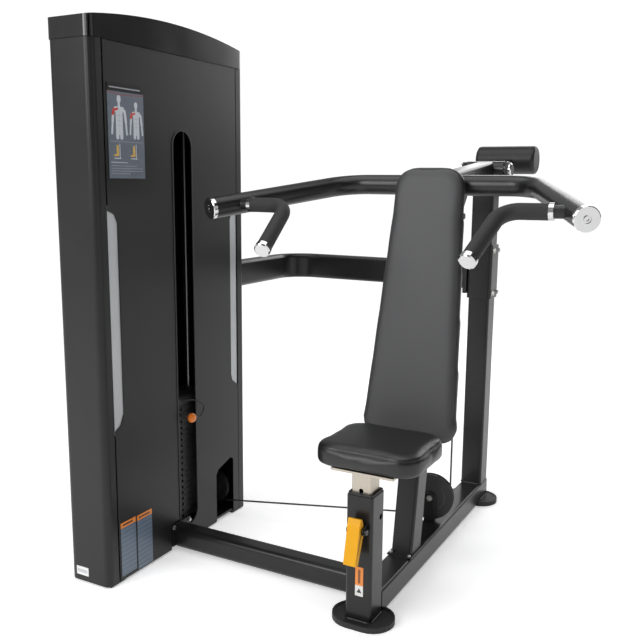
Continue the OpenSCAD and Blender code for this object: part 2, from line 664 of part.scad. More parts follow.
module bar_path(r, out) {
  q1 = tan1(be, bb, mir(bb, -1), bar_br);
  q2 = tan2(be, bb, mir(bb, -1), bar_br);
  rod(q2 + [lap, 0, 0], mir(q2, -1) - [lap, 0, 0], r);
  for (s = [-1, 1]) {
    rod(mir(be + unit(be - bb)*out, s), mir(q1 + unit(bb - be)*lap, s), r);
    elbow(mir(be, s), mir(bb, s), mir(bb, -s), bar_br, r);
  }
}
module handle_bar() {
  color(BLACK) difference() {
    bar_path(bar_r, 0);
    bar_path(bar_r - 3, 3);
  }
}
bdir = unit(be - bb);
module handle_caps() {
  color(CHROME) both() grip_caps_one();
  color(CHROME) for (s = [-1, 1]) along(mir(be, s), mir(bdir, s)) {
    difference() {
      union() {
        cylinder(h = 10, r = bar_r + 0.5, $fn = 96);
        translate([0, 0, 10]) cylinder(h = 2, r1 = bar_r + 0.5, r2 = bar_r - 1.5, $fn = 96);
      }
      translate([0, 0, 8.5]) cylinder(h = 6, r = 10, $fn = 64);
    }
    // a socket bolt holds the cap from inside its counterbore
    translate([0, 0, 8.5 - eps]) difference() {
      cylinder(h = 4.5, r = 7.5, $fn = 64);
      translate([0, 0, 1]) cylinder(h = 6, r = 4.4, $fn = 6);
    }
    translate([0, 0, -10]) cylinder(h = 10 + eps, r = bar_r - 3.2, $fn = 64);
  }
}
// grips: out from the bar, inward along X, then forward and down
gt = 0.846;
g0 = bb + (be - bb)*gt;
g1 = [bar_bend_x + 5, g0[1] - 8, g0[2] - 1];
g2 = [274, -1038, 992];
g_br = 55;
core_r = 16;
gr = grip_d/2;
module grip_path(r, d0, d1) {
  // from distance d0 off the bar's axis to d1 short of the free end
  u = unit(g1 - g0);
  v = unit(g2 - g1);
  t1 = tan1(g0, g1, g2, g_br);
  t2 = tan2(g0, g1, g2, g_br);
  rod(g0 + u*d0, t1 + u*lap, r);
  elbow(g0, g1, g2, g_br, r);
  rod(t2 - v*lap, g2 - v*d1, r);
}
module grip_core(r, ri, d0, d1) {
  difference() {
    grip_path(r, d0, d1);
    grip_path(ri, d0 - 3, d1 - 3);
  }
}
module both() { children(); mirror([1, 0, 0]) children(); }
module grip_tubes() {
  color(BLACK) both() difference() {
    grip_core(core_r, core_r - 2.5, 6, 0);
    rod(bb, be, bar_r);
  }
}
module grip_sleeves() { color(RUBBER) both() grip_core(gr, core_r + fit, 62, 12); }
module grip_caps_one() {
  along(g0 + unit(g1 - g0)*(62 - 7), g1 - g0) difference() {
    cylinder(h = 7, r = gr + 1, $fn = 64);
    translate([0, 0, -1]) cylinder(h = 9, r = core_r, $fn = 64);
  }
  along(g2 - unit(g2 - g1)*12, g2 - g1) difference() {
    union() {
      cylinder(h = 12, r = gr + 1.5, $fn = 64);
      translate([0, 0, 12]) cylinder(h = 3, r1 = gr + 1.5, r2 = gr - 2, $fn = 64);
    }
    translate([0, 0, -1]) cylinder(h = 13, r = core_r, $fn = 64);
  }
  along(g0 + unit(g1 - g0)*50, g1 - g0) difference() {
    cylinder(h = 12, r = gr + 1, $fn = 64);
    translate([0, 0, -1]) cylinder(h = 14, r = core_r, $fn = 64);
  }
}
module lug_plate() {
  // curved plate under the arm, carrying the cable's end fitting
  y1 = pivot_y - lug_r*cos(lug_a);
  z1 = pivot_z + lug_r*sin(lug_a);
  color([0.3, 0.3, 0.31]) difference() {
    union() {
      yz(30, 36) difference() {
        union() {
          polygon([[-250, 1203], [-440, 1182], [y1 - 16, z1 + 6], [y1 + 16, z1 - 4], [-318, 1128]]);
          translate([y1, z1]) circle(r = 17, $fn = 48);
        }
        translate([-258, 1080]) circle(r = 62, $fn = 96);
      }
      translate([36 - eps, y1, z1]) rotate([0, 90, 0]) cylinder(h = 4, r = 12, $fn = 32);
      translate([lug[0] - 4, y1, z1]) rotate([0, 90, 0]) cylinder(h = 8, r = 14, $fn = 48);
      translate([lug[0], y1, z1 - 26]) cylinder(h = 16, r = 6, $fn = 32);
      translate([lug[0] + 4 - eps, y1, z1]) rotate([0, 90, 0]) cylinder(h = 6, r = 9, $fn = 6);
    }
  }
}
cw = [0, 256, 1255];
module counterweight() {
  color(RUBBER) translate(cw) rotate([0, 90, 0]) rotate_extrude($fn = 96)
    polygon([[0, -110], [44, -110], [50, -106], [52, -99], [52, 99], [50, 106], [44, 110], [0, 110]]);
  color(BLACK) difference() {
    translate(piv) rotate([atan2(cw[2] - pivot_z, cw[1] - pivot_y), 0, 0])
      translate([-28, 4, -9]) cube([56, norm(cw - piv) - 4, 18]);
    translate(piv) rotate([0, 90, 0]) cylinder(h = 140, r = hub_r, center = true, $fn = 96);
    translate(cw) rotate([0, 90, 0]) cylinder(h = 140, r = 50, center = true, $fn = 96);
  }
}

// ---------------------------------------------------------------- seat
module seat_slider() {
  color(STEEL) {
    difference() {
      translate([0, fp_y, 128]) sq_tube(slide_w, slide_w, seat_top - seat_t - 10 - 128, 3, 4);
      for (i = [-4 : 5]) translate([0, fp_y - slide_w/2 - 1, pin_lock_z + i*25]) rotate([-90, 0, 0])
        cylinder(h = 6, r = 6.4, $fn = 32);
    }
    box([-90, 90], [fp_y - 30, fp_y + 160], [seat_top - seat_t - 10, seat_top - seat_t - 4]);
  }
}
seat_y0 = fp_y - 43;                   // front edge of the seat
module seat_pad() {
  color(VINYL) translate([0, seat_y0 + seat_d/2, seat_top - seat_t - 4]) {
    linear_extrude(8) rrect(seat_w - 12, seat_d - 12, 50);
    translate([0, 0, 8]) linear_extrude(seat_t - 16) rrect(seat_w, seat_d, 56);
    translate([0, 0, seat_t - 8]) linear_extrude(12) rrect(seat_w - 8, seat_d - 8, 52);
  }
}
module back_shape(g) {
  // outline in the pad's own plane, g larger or smaller
  w0 = back_w_low/2 - 52;
  w1 = back_w_top/2 - 48;
  offset(r = 50 + g, $fn = 96) polygon([[-w0, -58 + 50], [w0, -58 + 50], [w1, 740 - 54], [-w1, 740 - 54]]);
}
module backrest_pad() {
  color(VINYL) lean(back_y, 490) {
    translate([0, 46, 0]) rotate([90, 0, 0]) {
      linear_extrude(10) back_shape(-5);
      translate([0, 0, 10]) linear_extrude(28) back_shape(0);
      translate([0, 0, 38]) linear_extrude(8) back_shape(-4);
    }
    // board and two mounting brackets on the post
    translate([-80, 46, 20]) cube([160, 10, 580]);
    for (z = [60, 420]) translate([-30, 56, z]) cube([60, 5, 60]);
  }
}
// ---------------------------------------------------------------- seat lever
lev_y = fp_y - ph - 18;
lev_z = 277;
module seat_lever() {
  color([0.98, 0.72, 0.03]) difference() {
    yz(-18, 18) polygon([[lev_y + 8, lev_z + 14], [lev_y + 1, lev_z + 33], [lev_y - 10, lev_z + 36],
      [lev_y - 16, lev_z + 20],
      [lev_y - 38, lev_z - 82], [lev_y - 22, lev_z - 86], [lev_y + 8, lev_z - 12]]);
    translate([-30, lev_y, lev_z]) rotate([0, 90, 0]) cylinder(h = 60, r = 4 + fit, $fn = 32);
    box([-12.5, 12.5], [lev_y - 9, lev_y + 20], [lev_z - 50, lev_z + 22]);
  }
}
module lever_bracket() {
  color(BLACK) {
    for (s = [-1, 1]) difference() {
      yz(s > 0 ? 20 : -24, s > 0 ? 24 : -20) hull() {
        translate([fp_y - ph - 1, lev_z - 16]) square([1, 32]);
        translate([lev_y, lev_z]) circle(r = 10, $fn = 32);
      }
      translate([-30, lev_y, lev_z]) rotate([0, 90, 0]) cylinder(h = 60, r = 4, $fn = 32);
    }
    translate([0, fp_y - ph, pin_lock_z]) rotate([90, 0, 0]) difference() {
      cylinder(h = 5, r = 11, $fn = 48);
      translate([0, 0, -1]) cylinder(h = 10, r = 6 + fit, $fn = 48);
    }
  }
  color(STEEL) translate([-27, lev_y, lev_z]) rotate([0, 90, 0]) {
    cylinder(h = 54, r = 4, $fn = 32);
    translate([0, 0, 52]) cylinder(h = 7, r = 7, $fn = 32);
  }
}
module lock_pin() {
  l = fp_y - slide_w/2 - 0.3 - lev_y;   // the nose stands 0.3 mm clear of the slider face
  color(STEEL) translate([0, fp_y - slide_w/2 - 0.3, pin_lock_z]) rotate([90, 0, 0]) {
    cylinder(h = l, r = 6, $fn = 48);
    translate([0, 0, l - 3]) cylinder(h = 5, r = 9, $fn = 48);
  }
}

front_post();
slider_bush();
base_rail();
cross_member();
cross_flange();
rear_upright();
pivot_yoke();
pivot_shaft();
pivot_caps();
front_foot();
rear_foot();
backrest_post();
upper_brace();
brace_clamp();
frame_bolts();
tower_feet();
tower_base();
tower_posts();
tower_front_cover();
tower_rear_cover();
seat_side_panel();
outer_panel();
slot_trim();
side_inlays();
tower_cap();
top_frame();
guide_rods();
stack_bumpers();
plates_resting();
placard();
labels();
head_plate();
plates_picked();
stack_stem();
selector_pin();
pin_knob();
lanyard();
seat_pulley();
tower_pulley();
top_pulley_rear();
top_pulley_front();
pulley_brackets();
pulley_axles();
cable_main();
cable_lift();
cable_drop();
arm_hub();
arm_tube();
handle_bar();
handle_caps();
grip_tubes();
grip_sleeves();
lug_plate();
counterweight();
seat_slider();
seat_pad();
backrest_pad();
seat_lever();
lever_bracket();
lock_pin();
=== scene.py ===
# %% [markdown]
# # A shoulder press machine
# The steel frame, the weight tower and all moving parts come ready made from the CAD model.
# In this lesson we give every part its finish, and model what CAD makes badly: the stuffed
# seat and backrest, the weld beads, the bolts, the cable's runs and the little safety cord.
# We start by loading the frame.

# %% Load the frame
import math
import bmesh
import bpy
from mathutils import Matrix, Vector


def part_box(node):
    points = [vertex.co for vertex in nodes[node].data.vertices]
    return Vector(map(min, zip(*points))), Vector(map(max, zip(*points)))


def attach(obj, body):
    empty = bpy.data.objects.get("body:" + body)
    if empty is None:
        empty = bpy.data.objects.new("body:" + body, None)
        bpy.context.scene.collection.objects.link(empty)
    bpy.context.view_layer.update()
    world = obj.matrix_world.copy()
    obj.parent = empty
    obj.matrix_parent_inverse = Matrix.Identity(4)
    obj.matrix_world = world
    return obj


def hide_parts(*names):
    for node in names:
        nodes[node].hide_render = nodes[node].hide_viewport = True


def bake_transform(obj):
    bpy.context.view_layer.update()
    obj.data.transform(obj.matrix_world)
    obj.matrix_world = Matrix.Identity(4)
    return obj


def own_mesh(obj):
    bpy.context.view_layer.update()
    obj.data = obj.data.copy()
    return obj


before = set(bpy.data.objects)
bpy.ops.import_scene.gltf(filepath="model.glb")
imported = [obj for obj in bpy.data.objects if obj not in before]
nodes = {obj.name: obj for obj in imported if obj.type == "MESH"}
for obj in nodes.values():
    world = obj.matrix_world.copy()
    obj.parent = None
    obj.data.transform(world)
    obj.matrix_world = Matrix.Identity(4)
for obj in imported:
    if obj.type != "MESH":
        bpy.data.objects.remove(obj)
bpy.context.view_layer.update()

# %% [markdown]
# The camera stands at eye height in front of the machine, to the right, and looks a little
# down. We build its axes from a heading, a dip and a slight roll: a camera looks along its
# own -Z, so the third column is the view direction turned round.

# %% Camera
HEADING, DIP, ROLL = math.radians(28.21), math.radians(9.73), math.radians(0.51)
EYE = Vector((0.837, -2.789, 1.165))


def make_camera():
    look = Vector((-math.sin(HEADING) * math.cos(DIP), math.cos(HEADING) * math.cos(DIP),
                   -math.sin(DIP)))
    flat = Vector((math.cos(HEADING), math.sin(HEADING), 0))
    level_up = flat.cross(look)
    right = flat * math.cos(ROLL) + level_up * math.sin(ROLL)
    up = level_up * math.cos(ROLL) - flat * math.sin(ROLL)
    data = bpy.data.cameras.new("camera")
    data.sensor_width, data.lens = 36, 45.01
    camera = bpy.data.objects.new("camera", data)
    bpy.context.scene.collection.objects.link(camera)
    camera.matrix_world = Matrix((
        (right.x, up.x, -look.x, EYE.x), (right.y, up.y, -look.y, EYE.y),
        (right.z, up.z, -look.z, EYE.z), (0, 0, 0, 1)))
    bpy.context.scene.camera = camera
    return camera


camera = make_camera()
print("camera lens:", camera.data.lens)

# %% [markdown]
# A studio shot of black steel is made by what the steel mirrors. Wide soft boxes give the
# long calm highlights along the rounded tubes. The room itself is grey for the object, with
# a black flag on its right, and white only where the camera looks straight at it, so black
# stays black.

# %% Soft boxes and room
def soft_box(name, place, aim, size, power):
    data = bpy.data.lights.new(name, "AREA")
    data.shape, data.size, data.size_y = "RECTANGLE", size[0], size[1]
    data.energy = power
    lamp = bpy.data.objects.new(name, data)
    bpy.context.scene.collection.objects.link(lamp)
    lamp.location = place
    lamp.rotation_mode = "QUATERNION"
    lamp.rotation_quaternion = (Vector(aim) - Vector(place)).to_track_quat("-Z", "Y")
    return lamp


soft_box("top_box", (-0.3, -0.9, 3.6), (-0.3, -0.6, 0), (3.4, 2.6), 55)
soft_box("key_box", (-1.6, -4.2, 2.6), (-0.3, -0.6, 0.7), (2.0, 2.2), 90)
soft_box("right_box", (3.6, -0.9, 1.6), (0, -0.5, 0.8), (1.6, 2.6), 8)
soft_box("back_box", (0.2, 3.2, 2.4), (-0.2, -0.3, 0.8), (3.0, 2.0), 60)


FELT, FLAGGED = 0.40, 0.03      # strength of the room's light, and of what the flag leaves


def make_room():
    world = bpy.data.worlds.new("room")
    bpy.context.scene.world = world
    world.use_nodes = True
    tree = world.node_tree
    tree.nodes.clear()
    path = tree.nodes.new("ShaderNodeLightPath")
    seen, felt = tree.nodes.new("ShaderNodeBackground"), tree.nodes.new("ShaderNodeBackground")
    seen.inputs["Color"].default_value = (1, 1, 1, 1)
    felt.inputs["Color"].default_value = (0.98, 0.99, 1, 1)
    seen.inputs["Strength"].default_value = 1.05
    around = tree.nodes.new("ShaderNodeTexCoord")
    part = tree.nodes.new("ShaderNodeSeparateXYZ")
    flag = tree.nodes.new("ShaderNodeMapRange")
    flag.interpolation_type = "SMOOTHSTEP"
    tree.links.new(around.outputs["Generated"], part.inputs[0])
    tree.links.new(part.outputs[0], flag.inputs[0])
    for socket, value in zip((1, 2, 3, 4), (-0.35, 0.75, FELT, FLAGGED)):
        flag.inputs[socket].default_value = value
    tree.links.new(flag.outputs[0], felt.inputs["Strength"])
    mix = tree.nodes.new("ShaderNodeMixShader")
    out = tree.nodes.new("ShaderNodeOutputWorld")
    tree.links.new(path.outputs["Is Camera Ray"], mix.inputs[0])
    tree.links.new(felt.outputs[0], mix.inputs[1])
    tree.links.new(seen.outputs[0], mix.inputs[2])
    tree.links.new(mix.outputs[0], out.inputs["Surface"])


make_room()
bpy.context.scene.view_settings.view_transform = "Standard"
bpy.context.scene.view_settings.look = "None"

# %% [markdown]
# Shader maths is easier to read as a formula than as boxes and wires. `Signal` wraps one
# output of a node. Adding or multiplying signals adds Math nodes, and `node` makes anything
# else: its settings go in first, then the values or signals of its sockets.

# %% Signals
class Signal:
    """One output in a shader; arithmetic on it adds Math nodes."""

    def __init__(self, tree, socket=None):
        self.tree, self.socket = tree, socket

    def node(self, kind, settings=None, sockets=None, out=0):
        made = self.tree.nodes.new(kind)
        for key, value in (settings or {}).items():
            if key == "stops":
                stops = made.color_ramp.elements
                while len(stops) < len(value):
                    stops.new(0.5)
                for stop, (place, colour) in zip(stops, value):
                    stop.position, stop.color = place, colour
            else:
                setattr(made, key, value)
        for key, value in (sockets or {}).items():
            if isinstance(value, Signal):
                self.tree.links.new(value.socket, made.inputs[key])
            else:
                made.inputs[key].default_value = value
        return Signal(self.tree, made.outputs[out])

    def math(self, operation, *others):
        return self.node("ShaderNodeMath", {"operation": operation},
                         dict(enumerate((self,) + others)))

    def __add__(self, other): return self.math("ADD", other)
    __radd__ = __add__
    def __sub__(self, other): return self.math("SUBTRACT", other)
    def __rsub__(self, other): return (self * -1) + other
    def __mul__(self, other): return self.math("MULTIPLY", other)
    __rmul__ = __mul__
    def __truediv__(self, other): return self.math("DIVIDE", other)

    def rise(self, low, high):
        """0 below low, 1 above high, smooth between; swap them for a fall."""
        return self.node("ShaderNodeMapRange", {"interpolation_type": "SMOOTHSTEP"},
                         {0: self, 1: low, 2: high, 3: 0.0, 4: 1.0})


def blend_colours(mask, off, on):
    """off where the mask is 0, on where it is 1; each a colour or a signal."""
    return mask.node("ShaderNodeMix", {"data_type": "RGBA"}, {0: mask, 6: off, 7: on}, out=2)


def grey(value, tint=(1, 1, 1)):
    return (value * tint[0], value * tint[1], value * tint[2], 1)


# %% [markdown]
# Every finish starts the same way: a Principled shader, and a place signal that says where
# on the machine we are, in metres. `noise` and `bumps` are the two textures we use most.

# %% The start of a finish
class Finish:
    """A material in the making: bsdf is its shader, place its object coordinates."""

    def __init__(self, name, **fixed):
        self.material = bpy.data.materials.new(name)
        self.material.use_nodes = True
        self.tree = self.material.node_tree
        self.bsdf = self.tree.nodes["Principled BSDF"]
        self.start = Signal(self.tree)
        self.place = self.start.node("ShaderNodeTexCoord", out="Object")
        for key, value in fixed.items():
            self.bsdf.inputs[key.replace("_", " ")].default_value = value

    def xyz(self):
        return [self.start.node("ShaderNodeSeparateXYZ", sockets={0: self.place}, out=i)
                for i in range(3)]

    def stretched(self, x, y, z):
        return self.start.node("ShaderNodeMapping",
                               sockets={"Vector": self.place, "Scale": (x, y, z)})

    def noise(self, scale, detail=3.0, place=None, rough=0.5):
        return self.start.node("ShaderNodeTexNoise", sockets={
            "Vector": place or self.place, "Scale": scale, "Detail": detail, "Roughness": rough})

    def cells(self, scale, place=None):
        return self.start.node("ShaderNodeTexVoronoi", {"feature": "F1"},
                               {"Vector": place or self.place, "Scale": scale})

    def bump(self, height, depth, strength=1.0):
        made = self.start.node("ShaderNodeBump", sockets={
            "Height": height, "Distance": depth, "Strength": strength})
        self.wire("Normal", made)

    def wire(self, name, signal):
        self.tree.links.new(signal.socket, self.bsdf.inputs[name])


# %% [markdown]
# ## Paint
# The frame is powder coated: a satin black skin with the faint ripple of an orange's peel.
# The tower panels have the same paint in a dark graphite. A little cloudiness in the
# roughness keeps wide highlights from looking like plastic.

# %% Powder coats
def powder_coat(name, shade, rough, tint=(1, 1, 1), peel=0.00006):
    coat = Finish(name, Coat_Weight=0.08, Coat_Roughness=0.22, IOR=1.5, Specular_IOR_Level=0.34)
    cloud = coat.noise(6.0, 4.0)
    grain = coat.noise(900.0, 2.0)
    coat.wire("Base Color", blend_colours(cloud.rise(0.3, 0.7), grey(shade * 0.88, tint),
                                          grey(shade * 1.12, tint)))
    coat.wire("Roughness", cloud * 0.07 + (grain * 0.06 + (rough - 0.06)))
    coat.bump(coat.noise(420.0, 2.0) + grain * 0.4, peel)
    return coat.material


black_paint = powder_coat("black_powder_coat", 0.010, 0.30)
graphite_paint = powder_coat("graphite_powder_coat", 0.009, 0.38)
bead_paint = powder_coat("weld_bead_paint", 0.014, 0.18, (1, 1, 1), 0.00002)
print("paints:", black_paint.name, graphite_paint.name)

# %% [markdown]
# ## Metals
# Brushed steel has streaks that run one way: noise squeezed hard across the grain. Chrome is
# nearly a mirror, so all it needs is a breath of unevenness. Zinc on the bolts is duller.

# %% Metals
def brushed_steel(name, shade, rough, across=(900, 900, 9), tint=(1.0, 0.95, 0.86)):
    steel = Finish(name, Metallic=1.0)
    streak = steel.noise(1.0, 4.0, steel.stretched(*across))
    cloud = steel.noise(14.0, 3.0)
    steel.wire("Base Color", blend_colours(streak, grey(shade * 0.80, tint),
                                           grey(shade * 1.12, tint)))
    steel.wire("Roughness", streak * 0.20 + (cloud * 0.10 + (rough - 0.12)))
    steel.bump(streak, 0.00004)
    return steel.material


def mirror_metal(name, shade, rough, tint=(1, 1, 1)):
    metal = Finish(name, Metallic=1.0)
    cloud = metal.noise(60.0, 3.0)
    metal.wire("Base Color", blend_colours(cloud, grey(shade * 0.94, tint), grey(shade, tint)))
    metal.wire("Roughness", cloud * 0.08 + (rough - 0.03))
    return metal.material


slider_steel = brushed_steel("brushed_slider_steel", 0.50, 0.38, (900, 900, 9), (1.0, 0.90, 0.77))
shaft_steel = brushed_steel("turned_steel", 0.55, 0.28, (9, 900, 900), (1, 0.98, 0.95))
chrome = mirror_metal("polished_chrome", 0.62, 0.10)
rod_steel = mirror_metal("shaded_rod_steel", 0.20, 0.28)
zinc = mirror_metal("zinc_plate", 0.62, 0.30, (1.0, 0.99, 0.95))
print("metals:", [m.name for m in (slider_steel, shaft_steel, chrome, zinc)])

# %% [markdown]
# ## Castings, rubber and plastic
# The weight plates and the counterweight are cast iron under thin paint, so their grain is
# coarse. Feet are matte rubber. Grips are foam with a fine pore. Moulded plastic is smooth,
# with only a trace of texture from the tool.

# %% Castings, rubber, plastic
def grained(name, shade, rough, scale, depth, tint=(1, 1, 1), spread=0.15, **fixed):
    skin = Finish(name, **fixed)
    grain = skin.noise(scale, 3.0)
    cloud = skin.noise(9.0, 3.0)
    skin.wire("Base Color", blend_colours(cloud, grey(shade * (1 - spread), tint),
                                          grey(shade * (1 + spread), tint)))
    skin.wire("Roughness", cloud * 0.10 + (grain * 0.06 + (rough - 0.08)))
    skin.bump(grain, depth)
    return skin.material


plate_iron = grained("painted_plate_iron", 0.022, 0.48, 260.0, 0.0002)
weight_iron = grained("counterweight_iron", 0.009, 0.42, 420.0, 0.00012, Specular_IOR_Level=0.35)
foot_rubber = grained("foot_rubber", 0.013, 0.62, 700.0, 0.0001)
grip_foam = grained("grip_foam", 0.016, 0.70, 1400.0, 0.00018)
nylon = grained("pulley_nylon", 0.014, 0.36, 500.0, 0.00004)
matte_plastic = grained("matte_black_plastic", 0.015, 0.55, 800.0, 0.00006)
cap_plastic = grained("gloss_cap_plastic", 0.012, 0.20, 300.0, 0.00002,
                      Coat_Weight=0.3, Coat_Roughness=0.1)
yellow_plastic = grained("yellow_lever_plastic", 0.80, 0.40, 900.0, 0.00005,
                         (1.0, 0.47, 0.0), 0.04, Specular_IOR_Level=0.35)
orange_plastic = grained("orange_knob_plastic", 0.80, 0.30, 600.0, 0.00003, (1.0, 0.25, 0.02), 0.05,
                         Coat_Weight=0.2)
cable_jacket = grained("cable_jacket", 0.012, 0.35, 900.0, 0.00005)
cord_weave = grained("cord_weave", 0.022, 0.60, 1600.0, 0.0002, (1.0, 0.88, 0.74))
print("moulded finishes:", plate_iron.name, grip_foam.name, nylon.name)

# %% Floor
def make_floor():
    bpy.ops.object.select_all(action="DESELECT")
    bpy.ops.mesh.primitive_plane_add(size=60, location=(0, 0, 0))
    floor = bpy.context.object
    floor.name = "floor"
    pale = Finish("pale_floor", Roughness=0.75)
    pale.bsdf.inputs["Base Color"].default_value = (0.93, 0.93, 0.93, 1)
    x, y, _ = pale.xyz()
    away = (x * x + y * y).math("SQRT").rise(1.2, 6.0)
    pale.wire("Emission Color", blend_colours(away, grey(0.42), grey(0.80)))
    pale.bsdf.inputs["Emission Strength"].default_value = 1.0
    floor.data.materials.append(pale.material)


make_floor()

# %% [markdown]
# ## Vinyl
# The pads wear a fine pebbled vinyl. Voronoi cells make the pebbles, and a slow noise keeps
# them from looking stamped. A value stored on the mesh is 1 on the wide face that the user
# leans on. There the matt vinyl is painted a paler grey, as painted light on the lit face. It is 0 on
# the darker side bands, and it fades over the rolled edge between them, as painted shade.

# %% Vinyl
def make_vinyl():
    vinyl = Finish("pebbled_vinyl", Coat_Weight=0.06, Coat_Roughness=0.35)
    panel = vinyl.start.node("ShaderNodeAttribute", {"attribute_name": "face_panel"}, out="Fac")
    pebble = vinyl.cells(620.0)
    crease = vinyl.noise(170.0, 4.0)
    cloud = vinyl.noise(5.0, 3.0)
    # dark is the vinyl's own near-black; pale is painted light on the lit front face, and the mix
    # between them over the rolled edge is painted shade
    dark = blend_colours(cloud, grey(0.007), grey(0.010))
    pale = blend_colours(cloud, grey(0.044, (1, 1.01, 1.05)), grey(0.056, (1, 1.01, 1.05)))
    vinyl.wire("Base Color", blend_colours(panel, dark, pale))
    vinyl.wire("Roughness", panel * 0.16 + (pebble * 0.10 + (cloud * 0.08 + 0.30)))
    vinyl.bump(pebble * -1.0 + crease * 0.5, 0.00022, 0.8)
    return vinyl.material


vinyl_skin = make_vinyl()
seam_thread = grained("seam_welt_vinyl", 0.012, 0.38, 900.0, 0.00008)
print("vinyl:", vinyl_skin.name, seam_thread.name)

# %% [markdown]
# ## Printed sheets
# The instruction placard and the labels are prints. A print is drawn with distances: a
# figure's limb is every point closer than so many millimetres to a line. The figures here
# are plain mannequins, and rows of writing are plain rules.

# %% Drawing with distances
def limb(u, v, a, b, width):
    """How far (u, v) lies outside a round-ended bar from a to b; below 0 is inside."""
    run = (b[0] - a[0], b[1] - a[1])
    length2 = max(run[0] ** 2 + run[1] ** 2, 1e-6)
    pu, pv = u - a[0], v - a[1]
    along = pu * (run[0] / length2) + pv * (run[1] / length2)
    along = along.math("MAXIMUM", 0.0).math("MINIMUM", 1.0)
    du, dv = pu - along * run[0], pv - along * run[1]
    return (du * du + dv * dv).math("SQRT") - width / 2


def either(shapes):
    found = shapes[0]
    for shape in shapes[1:]:
        found = found.math("MINIMUM", shape)
    return found


def inside(shape, edge=0.35):
    return shape.rise(edge, -edge)


def panel_mask(u, v, low, high, edge=0.3):
    """1 inside a rectangle."""
    return (u.rise(low[0] - edge, low[0] + edge) * u.rise(high[0] + edge, high[0] - edge)
            * v.rise(low[1] - edge, low[1] + edge) * v.rise(high[1] + edge, high[1] - edge))


# %% The placard
def make_placard():
    low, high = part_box("placard")
    wide, tall = (high.y - low.y) * 1000, (high.z - low.z) * 1000
    print_ = Finish("placard_print", Coat_Weight=0.25, Coat_Roughness=0.15)
    _, y, z = print_.xyz()
    u, v = (y - low.y) * 1000, (high.z - z) * 1000          # millimetres right and down
    cloud = print_.noise(30.0, 3.0)
    picture = blend_colours(cloud, (0.115, 0.135, 0.165, 1), (0.150, 0.172, 0.205, 1))
    header = panel_mask(u, v, (-5, -5), (wide + 5, 21))
    picture = blend_colours(header, picture, (0.010, 0.010, 0.012, 1))
    arch = v - 28.0 + (u - wide * 0.5).math("POWER", 2.0) * 0.0009
    picture = blend_colours(inside(arch.math("ABSOLUTE") - 0.8), picture, (0.30, 0.02, 0.02, 1))
    skin, muscle, shade = (0.55, 0.58, 0.62, 1), (0.52, 0.04, 0.03, 1), (0.33, 0.35, 0.39, 1)
    for centre, top, size in ((44.0, 38.0, 1.0), (112.0, 50.0, 0.86)):
        def at(dx, dy, c=centre, t=top, k=size):
            return (c + dx * k, t + dy * k)
        body = either([limb(u, v, at(*a), at(*b), width * size) for a, b, width in (
            ((0, 0), (0, 5), 15), ((0, 14), (0, 22), 9), ((-13, 30), (13, 30), 15),
            ((0, 36), (0, 84), 27), ((-22, 34), (-26, 62), 9), ((-26, 62), (-29, 94), 7),
            ((22, 34), (26, 62), 9), ((26, 62), (29, 94), 7),
            ((-8, 88), (-8, 104), 12), ((8, 88), (8, 104), 12))])
        picture = blend_colours(inside(body), picture, skin)
        lines = either([limb(u, v, at(*a), at(*b), width) for a, b, width in (
            ((0, 30), (0, 96), 1.0), ((-11, 46), (11, 46), 1.0),
            ((-9, 60), (9, 60), 0.9), ((-8, 72), (8, 72), 0.9))])
        picture = blend_colours(inside(lines), picture, shade)
        worked = either([limb(u, v, at(-20, 31), at(-24, 42), 9 * size),
                         limb(u, v, at(-6, 28), at(-14, 31), 6 * size)])
        picture = blend_colours(inside(worked), picture, muscle)
    for centre in (34.0, 100.0):
        seated = either([limb(u, v, (centre, 166), (centre, 168), 8),
                         limb(u, v, (centre, 174), (centre + 1, 188), 9),
                         limb(u, v, (centre + 1, 189), (centre - 12, 190), 5)])
        bench = either([limb(u, v, (centre + 9, 160), (centre + 9, 198), 3),
                        limb(u, v, (centre - 12, 198), (centre + 12, 198), 3)])
        picture = blend_colours(inside(bench), picture, (0.50, 0.52, 0.55, 1))
        picture = blend_colours(inside(seated), picture, (0.62, 0.40, 0.10, 1))
    rules = either([limb(u, v, (left, level), (right, level), width)
                    for left, right, level, width in (
                        (8, wide - 8, 153, 0.8), (9, 72, 209, 2.6), (9, 110, 218, 1.0),
                        (9, wide - 9, 225, 1.0), (9, wide - 9, 232, 1.0), (9, 80, 239, 1.0))])
    picture = blend_colours(inside(rules), picture, (0.42, 0.44, 0.47, 1))
    title = inside(limb(u, v, (9, 11), (wide - 14, 11), 3.2))
    picture = blend_colours(title, picture, (0.34, 0.35, 0.37, 1))
    print_.wire("Base Color", picture)
    print_.wire("Roughness", cloud * 0.10 + 0.24)
    return print_.material


placard_print = make_placard()
print("placard drawn, nodes:", len(placard_print.node_tree.nodes))

